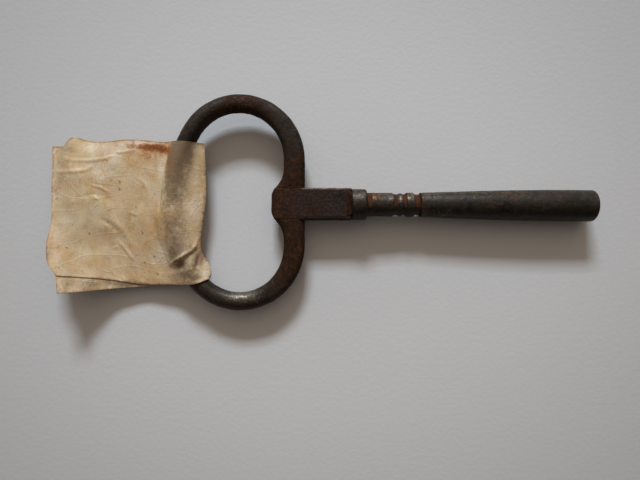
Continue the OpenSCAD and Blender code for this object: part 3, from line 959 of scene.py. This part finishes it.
def leaf_plan(end, top, low):
    """Places over a leaf whose four edges are given: rows run from the fold to the free end."""
    f, e = along(FOLD_EDGE, COLUMNS), along(end, COLUMNS)
    t = along([FOLD_EDGE[0], *top, end[0]], PLAN_ROWS)
    b = along([FOLD_EDGE[-1], *low, end[-1]], PLAN_ROWS)
    u = np.linspace(0, 1, PLAN_ROWS)[:, None, None]
    v = np.linspace(0, 1, COLUMNS)[None, :, None]
    corners = ((1 - u) * (1 - v) * f[0] + (1 - u) * v * f[-1] + u * (1 - v) * e[0] + u * v * e[-1])
    return (1 - v) * t[:, None] + v * b[:, None] + (1 - u) * f[None] + u * e[None] - corners


def from_bar(x, y):
    """Distance from the bar's middle line, positive towards the inside of the bow."""
    h = np.abs(y - BOW_SHIFT)
    back = BACK_R - np.hypot(x - BACK_X, h)
    lobe = LOBE_R - np.hypot(x - LOBE_X, h - LOBE_Y)
    return np.where(np.arctan2(h, x - BACK_X) >= JOIN_A, back, lobe)


def tunnel(d, reach, hold):
    """Half height of the tape over the bar, then straight down to nothing at reach."""
    touch = hold ** 2 / reach
    over = np.sqrt(np.maximum(0, hold ** 2 - d ** 2))
    down = np.sqrt(hold ** 2 - touch ** 2) * (reach - d) / (reach - touch)
    return np.where(d >= reach, 0, np.where(d <= touch, over, down))


def smooth(low, high, value):
    """The smooth step again, for whole arrays of places."""
    t = np.clip((value - low) / (high - low), 0, 1)
    return t * t * (3 - 2 * t)


def off_line(x, y, points):
    """Distance from a line of points, how far off to its left, and the share along it."""
    best, side, share = np.full(x.shape, 1e9), np.zeros(x.shape), np.zeros(x.shape)
    count = len(points) - 1
    for i, ((x0, y0), (x1, y1)) in enumerate(zip(points, points[1:])):
        dx, dy = x1 - x0, y1 - y0
        t = np.clip(((x - x0) * dx + (y - y0) * dy) / (dx * dx + dy * dy), 0, 1)
        gap = np.hypot(x - x0 - t * dx, y - y0 - t * dy)
        near = gap < best
        side = np.where(near, (dx * (y - y0) - dy * (x - x0)) / math.hypot(dx, dy), side)
        share = np.where(near, (i + t) / count, share)
        best = np.where(near, gap, best)
    return best, side, share


def crease(x, y, points, height, wide):
    """A pressed crease: a soft ridge along a line of points, running out at its ends."""
    gap, _, share = off_line(x, y, points)
    return height * np.exp(-(gap / wide) ** 2) * np.sin(np.pi * np.clip(share, 0.02, 0.98)) ** 0.6


# Creases pressed into both leaves: points, height and half width
CREASES = [
    ([(-148, 12.8), (-144.5, 12.0), (-140.5, 11.9), (-135.5, 12.4), (-131.9, 13.2)], 0.2, 0.42),
    ([(-132.2, 13.9), (-126.5, 14.8)], 0.16, 0.35),
    ([(-147, 11.2), (-138, 10.6), (-130.5, 11.6)], 0.04, 0.9),
    ([(-150, 8.6), (-145, 8.9), (-141, 9.2), (-138.5, 10.8)], 0.25, 0.5),
    ([(-148.6, 6.2), (-143.2, 7.6), (-138.8, 7.9)], 0.06, 0.9),
    ([(-139.4, 5.2), (-136.4, 4.4), (-133.8, 3.0)], 0.2, 0.33),
    ([(-138.6, 1.9), (-136.8, 0.9)], 0.16, 0.3),
    ([(-144, 1.2), (-138.4, 2.6), (-135.2, 2.0)], -0.12, 0.5),
    ([(-136.4, -4.1), (-133.6, -5.9), (-131.2, -8.2)], -0.24, 0.7),
    ([(-133, -4.2), (-129.5, -8), (-127.5, -12)], 0.16, 0.9),
    ([(-131.4, -10.4), (-128.9, -13.2), (-127.2, -15.8)], 0.26, 0.4),
    ([(-133, -12.6), (-131.4, -11.9)], 0.16, 0.3),
    ([(-128.4, -2.4), (-126.0, -3.2)], 0.15, 0.35),
    ([(-125.5, 7.5), (-123.2, 5.0), (-122.8, 2.0)], 0.12, 0.5),
    ([(-122.5, -14), (-121.5, -18)], 0.12, 0.5),
]


def undulation(x, y):
    """Soft unevenness of the leaves."""
    flat = np.zeros(x.shape)
    for size, height in ((14, 0.5), (6, 0.22), (2.6, 0.06)):
        flat += height * np.vectorize(
            lambda a, b: noise.noise(Vector((a / size, b / size, size))))(x, y)
    return flat


def leaf_height(x, y):
    """Height of the surface that the two leaves share."""
    q = np.maximum(0, -from_bar(x, y) - HOLD_R - 1)
    t = np.minimum(1, q / LEAF_RUN)
    low = (1 - 2 * (y - LABEL_Y) / TAPE_WIDE) / 2
    height = t ** 3 * (LOW_RISE * low - TOP_DROP * (1 - low)) - LEAF_SAG * np.sin(np.pi * t)
    away = smooth(1, 5, q)
    height += away * undulation(x, y)
    for points, rise, wide in CREASES:
        height += crease(x, y, points, rise, wide)
    return height


# The pinch by the lower part of the bar: its crest, the crease and the raised patch that run down from
# it, and the pocket beside it
PINCH = [(-115.3, -16.2), (-113.9, -15.3), (-112.5, -14.4), (-111.2, -13.5), (-110.1, -12.7),
         (-109.3, -11.3), (-108.9, -9.6)]
PINCH_CREASE = [(-109.3, -12.6), (-108.5, -13.8), (-109.0, -17.2)]
PINCH_PATCH = [(-110.4, -14.6), (-110.1, -17.6)]
PINCH_POCKET = (-113.5, -16.9)
CREST_WIDE = 0.3
CREST_RISE = 0.5
CREASE_WIDE = 0.42
CREASE_DEEP = 0.55
PATCH_WIDE = 0.6
PATCH_RISE = 0.3
POCKET_WIDE = 1.5
POCKET_TALL = 1.0
POCKET_DEEP = 0.55
BELL_WIDE = 3.6


def front_rise(x, y, edge_x):
    """How far the front leaf stands off the shared surface: over the bar and round the pinch."""
    d = from_bar(x, y)
    gap, above, share = off_line(x, y, PINCH)
    # Above the crest the tape stands off the bar a little. Low down its flank runs out as a wide bell.
    below = smooth(-0.1, 0.7, -above) * smooth(-7.5, -9.5, y)
    spread = np.maximum(smooth(-1.0, 3.0, -above) * smooth(-7, -12, y), 0.7 * smooth(1, -6, y))
    hold = HOLD_R + 0.5 * (1 - below) * smooth(4, -8, y)
    # How far from the bar's middle the leaves meet, on the fold's side and on the free ends' side
    right = np.maximum(hold + 0.25, from_bar(edge_x, y))
    left = (hold + 0.12 + 1.05 * smooth(11.5, 16.5, y) + 1.8 * smooth(1, -4.5, y)
            - 0.7 * smooth(-8, -13, y))
    flank = tunnel(np.minimum(-d, left), left, hold)
    bell = 0.96 * hold * np.exp(-(np.minimum(d, 0) / BELL_WIDE) ** 2)
    rise = np.where(d >= 0, tunnel(np.minimum(d, right), right, hold),
                    (1 - spread) * flank + spread * bell)
    fade = smooth(0, 1.2, right - d)
    swell = np.sin(np.pi * np.clip(share, 0.1, 0.98)) ** 0.5
    # The crest, the pocket beside it, the crease and the patch
    rise += fade * CREST_RISE * np.exp(-(gap / CREST_WIDE) ** 2) * swell
    pocket = np.hypot((x - PINCH_POCKET[0]) / POCKET_WIDE, (y - PINCH_POCKET[1]) / POCKET_TALL)
    rise -= POCKET_DEEP * np.exp(-pocket ** 2) * smooth(0.1, 0.8, rise)
    rise -= fade * CREASE_DEEP * np.exp(-(off_line(x, y, PINCH_CREASE)[0] / CREASE_WIDE) ** 2)
    rise += fade * PATCH_RISE * np.exp(-(off_line(x, y, PINCH_PATCH)[0] / PATCH_WIDE) ** 2)
    return rise


def back_rise(x, y, edge_x):
    """How far the back leaf stands off the shared surface, under the bar."""
    d = from_bar(x, y)
    right = np.maximum(HOLD_R + 0.25, from_bar(edge_x, y))
    left = HOLD_R + 1.2
    return np.where(d >= 0, tunnel(np.minimum(d, right), right, HOLD_R),
                    tunnel(np.minimum(-d, left), left, HOLD_R))


def drape(plan, side, rise):
    """Raises a leaf's plan to its height, on one side (1 or -1) of the surface that the leaves share."""
    x, y = plan[..., 0], plan[..., 1]
    edge_x = np.broadcast_to(plan[0, :, 0], x.shape)
    z = leaf_height(x, y) + side * (LEAF_GAP / 2 + rise(x, y, edge_x))
    z[0] = leaf_height(x[0], y[0])
    leaf = np.stack([x, y, z], -1)
    return np.stack([spaced(leaf[:, j], LEAF_ROWS) for j in range(COLUMNS)], 1)


# Soft blots on the tape, each by its place, half width, half height and strength: rust stains, pale worn
# places and painted highlights on the bottom flap and along fold ridges, yellowed places, grime (or less
# of it) and painted shade in the pinch's pocket and crease and on the back leaf under the front leaf's
# edge, and places painted evenly darker
RUST = [(-121.6, 15.5, 3.4, 0.8, 0.95), (-118.8, 14.9, 1.3, 0.8, 0.6), (-121.5, 13.9, 5, 2.4, 0.42),
        (-118, 14.4, 1.2, 0.8, 0.5), (-127.0, 15.9, 2.8, 1.0, 0.35), (-115.3, 10.2, 0.9, 1.6, 0.42),
        (-115.6, 8.2, 0.7, 1.4, 0.25), (-116.2, 14.6, 0.8, 1.6, 0.5), (-113.9, -15.6, 1.5, 0.5, 0.5),
        (-115.0, -8.8, 0.6, 0.6, 0.35), (-108.0, -14.6, 0.8, 1.2, 0.4), (-122.6, -18.6, 0.4, 1.3, 0.35)]
PALE_AND_HIGHLIGHT = [(-138.3, 15.4, 4.4, 2.2, 1.1), (-130, 15.7, 4.5, 1.8, 0.9), (-148, -11, 1.8, 5, 0.15),
        (-106.7, -19.3, 1.4, 1.4, 1.6), (-110.0, -0.8, 1.8, 1.8, 1.1), (-138, 9.8, 5, 3.2, 0.8),
        (-133, -17.5, 7, 2.5, 0.5), (-109.3, 6, 1.2, 6.5, 0.6), (-110.4, -15.8, 0.6, 1.1, 0.7),
        (-118.6, 9, 1.5, 4.5, 0.9), (-121, 1, 2.0, 4, 0.4), (-127, 6, 5, 5, 0.25),
        (-109.6, -4.5, 1.5, 2.5, 0.5), (-131, 8, 4, 3, 0.3), (-126.5, 16.8, 2.5, 1.2, 1.1),
        (-118.6, -13, 2.6, 3, 0.85), (-124, -19.5, 2.5, 1.5, 0.5), (-122.5, 16, 3, 1.2, 0.9),
        (-116.5, 16.3, 1.6, 0.8, 0.7), (-116.8, -16, 1.6, 2.4, 0.7), (-132.5, 12.8, 2.5, 2, 0.8),
        (-136, 6.8, 2, 2, 0.4), (-107.4, 2, 1, 3, 0.7), (-117.3, 8.5, 0.6, 6, 0.8),
        (-131.8, -9.9, 1.6, 1.6, 0.6)]
OCHRE = [(-144.2, -13.5, 2.2, 2.6, 0.8), (-143, 5.6, 4.5, 1.6, 0.7), (-127.4, 12.4, 5, 2, 0.5),
         (-107.3, 6, 0.7, 9, 0.7), (-108.7, -9.5, 1.1, 4, 0.7), (-121, -4, 2, 5, 0.45),
         (-139, 11.6, 3.5, 0.8, 0.5), (-147.8, 6, 1.6, 3, 0.6), (-116.4, 8, 0.8, 7, 1.1),
         (-115.6, 13, 1.0, 3.5, 1.2), (-120.2, -5, 0.8, 5, 0.9), (-131, -7.5, 3, 2, 0.5),
         (-130, -20.6, 8, 0.9, 0.6), (-140, 0, 5, 4, 0.3), (-124, -12, 5, 4, 0.3), (-134, 3, 5, 3, 0.4),
         (-123, 7, 4.5, 5, 0.5), (-113.5, 13, 3, 4, 0.8), (-110.2, -12.2, 1.2, 1.3, 1.0),
         (-108, -13.5, 0.8, 2, 0.9), (-125, 13.6, 4, 0.9, 0.6)]
GRIME_AND_SHADE = [(-113.5, -16.9, 1.4, 0.9, 0.9), (-146.5, 1, 3.8, 13, 0.22), (-140, -3, 5.5, 8, 0.1),
         (-147.5, 13, 2.4, 4, 0.2), (-145.5, 15.6, 1.6, 1.2, 0.35), (-132, -10, 9, 7, 0.08),
         (-108.7, -15.2, 1.0, 2.3, 1.3), (-110.2, -0.8, 1.8, 1.6, -0.5), (-111.6, 14, 1.8, 3, 0.2),
         (-111.2, -19.2, 3.0, 1.5, 1.0), (-114.0, -12, 1.8, 3.0, 0.35), (-134, -22, 12, 1.4, 0.4),
         (-114.5, 12.5, 1.6, 3.5, 0.3), (-112.6, -16, 1.2, 0.6, 0.5), (-107.9, -14.2, 0.8, 1.8, 0.5),
         (-110.2, -13, 1.0, 1.6, 0.35), (-110.4, -18, 1.6, 1.6, 0.4), (-107.4, -16, 0.9, 1.0, 0.5),
         (-113.6, 3.6, 1.6, 3, 0.2), (-142.6, -9.5, 2, 5, 0.1), (-137.5, -3, 3.5, 2.5, 0.1),
         (-129.5, -13, 3, 5, 0.1), (-110.3, 10, 1.5, 5, 0.2), (-115.9, 6, 1.2, 7, 0.26),
         (-148.5, 7, 1.8, 6, 0.3), (-149, -13.5, 1.4, 3, 0.3), (-111.8, -17, 1.3, 1.0, 0.4),
         (-109.2, -20.4, 1.5, 0.9, 0.4), (-128.5, -22.4, 3, 0.8, 0.8), (-145, -23.4, 1.5, 1.2, 0.5),
         (-115.4, 11.5, 1.2, 3.5, 0.12), (-115.6, 3.5, 1.2, 2.5, 0.25), (-111.5, 4, 1.0, 3, 0.25),
         (-114.3, -5.5, 1.6, 1.4, 0.25), (-108.2, -20.2, 1.4, 1.0, 0.5), (-110.6, -15.5, 1.2, 2, 0.3)]
SHADE = [(-146.5, 1, 4, 13, 0.4), (-140, -3, 5.5, 8, 0.28), (-133, -10, 8, 7, 0.2),
         (-142.6, -9.5, 3, 5, 0.1), (-147, 16.5, 2.5, 2.5, 0.3), (-148.8, 12, 1.5, 4, 0.35),
         (-148.8, -16, 1.4, 3, 0.35)]

# The grimy stripe over the bar: the middle of it from top to bottom, and its half width
GRIME_STRIPE = [(-112.6, 17), (-113.6, 11.3), (-114.2, 8), (-115.0, 1), (-114.6, -5), (-114.0, -13)]
GRIME_WIDE = 3.5

# The browned edges of the tape and its fold: how far in they reach, and the fold's share of the brown
EDGE_WIDE = 1.1
FOLD_WIDE = 1.3
FOLD_SHARE = 0.7

# How much darker the back leaf is painted: dirt, and painted shade where the front leaf lies over it
BACK_DIRT_AND_SHADE = 0.3


def blots(x, y, many):
    """How strongly a list of soft blots colours each place of the tape."""
    return sum(much * np.exp(-((x - at_x) / wide) ** 2 - ((y - at_y) / tall) ** 2)
               for at_x, at_y, wide, tall, much in many)


def make_label(material):
    """The folded tape, shaped from one flat grid."""
    front = drape(leaf_plan(FRONT_END, FRONT_TOP, FRONT_LOW), 1, front_rise)
    back = drape(leaf_plan(BACK_END, BACK_TOP, BACK_LOW), -1, back_rise)
    sheet = np.vstack([front[::-1], back[1:]])
    lines = len(sheet)
    bpy.ops.object.select_all(action="DESELECT")
    bpy.ops.mesh.primitive_grid_add(x_subdivisions=COLUMNS - 1, y_subdivisions=lines - 1, size=1)
    label = bpy.context.object
    label.name = "tape_label_sheet"
    label.data.vertices.foreach_set("co", (sheet * MM).reshape(-1))

    x, y = sheet[..., 0], sheet[..., 1]
    row, column = np.arange(lines)[:, None], np.arange(COLUMNS)[None]
    on_front = row < LEAF_ROWS
    pitch = TAPE_WIDE / COLUMNS
    from_ends = np.minimum(row, lines - 1 - row) * pitch
    from_sides = np.minimum(column, COLUMNS - 1 - column) * pitch
    from_fold = np.abs(row - LEAF_ROWS + 1) * pitch
    edge = np.maximum(1 - np.minimum(from_ends, from_sides) / EDGE_WIDE,
                      FOLD_SHARE * (1 - from_fold / FOLD_WIDE))
    stripe = np.exp(-(off_line(x, y, GRIME_STRIPE)[0] / GRIME_WIDE) ** 4)
    stripe = stripe * (0.66 + 0.4 * smooth(3, 14, y)) * np.where(on_front, 1, 0.6)
    # The grime carries painted shade too, and the pale places painted highlights
    painted = {"grime_and_shade": stripe + blots(x, y, GRIME_AND_SHADE) + np.where(on_front, 0, BACK_DIRT_AND_SHADE),
               "edge": np.maximum(edge, 0),
               "rust": blots(x, y, RUST) * np.where(on_front, 1, 0.5),
               "pale_and_highlight": blots(x, y, PALE_AND_HIGHLIGHT) * on_front,
               "ochre": blots(x, y, OCHRE),
               "shade": blots(x, y, SHADE)}
    for name, values in painted.items():
        layer = label.data.attributes.new(name, "FLOAT", "POINT")
        layer.data.foreach_set("value", values.reshape(-1).astype(np.float32))
    label.data.update()
    edit(label)
    face_outwards()
    middle = label.data.polygons[len(label.data.polygons) // 4]
    offset = 1 if middle.normal.z > 0 else -1
    modify(label, "SOLIDIFY", thickness=TAPE_THICK * MM, offset=offset, use_even_offset=False)
    wear(label, material)
    shade_smooth(label, angle=60)
    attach(label, "root")
    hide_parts("tape_label")
    return label


make_camera()
make_table()
make_light()
make_room()

forged = iron_finish("forged_iron", tint(16, 14, 11), tint(38, 28, 19), tint(41, 40, 35),
                     tint(46, 28, 18), tint(114, 108, 96), 0.3)
neck_iron = iron_finish("forged_neck_iron", tint(20, 14, 12), tint(44, 29, 22), tint(34, 35, 39),
                        tint(52, 31, 20), tint(124, 108, 92), 0.36)
turned_iron = iron_finish("turned_iron", tint(16, 14, 11), tint(36, 28, 20), tint(37, 34, 29),
                          tint(68, 40, 26), tint(128, 115, 95), 0.2)
collar_brazing = brass_finish("dark_brazing", tint(30, 18, 13), tint(50, 28, 17))
pipe_brazing = brass_finish("rusty_brazing", tint(32, 20, 14), tint(60, 33, 18))
tape_cloth = tape_finish()

bow_ring = make_bow(forged)
make_neck(neck_iron)
make_stem(turned_iron)
make_pipe(turned_iron)
make_seam(forged)
wear(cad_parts["collar_braze"], collar_brazing)
wear(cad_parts["pipe_braze"], pipe_brazing)
label_sheet = make_label(tape_cloth)

bpy.context.scene.view_settings.view_transform = "Standard"
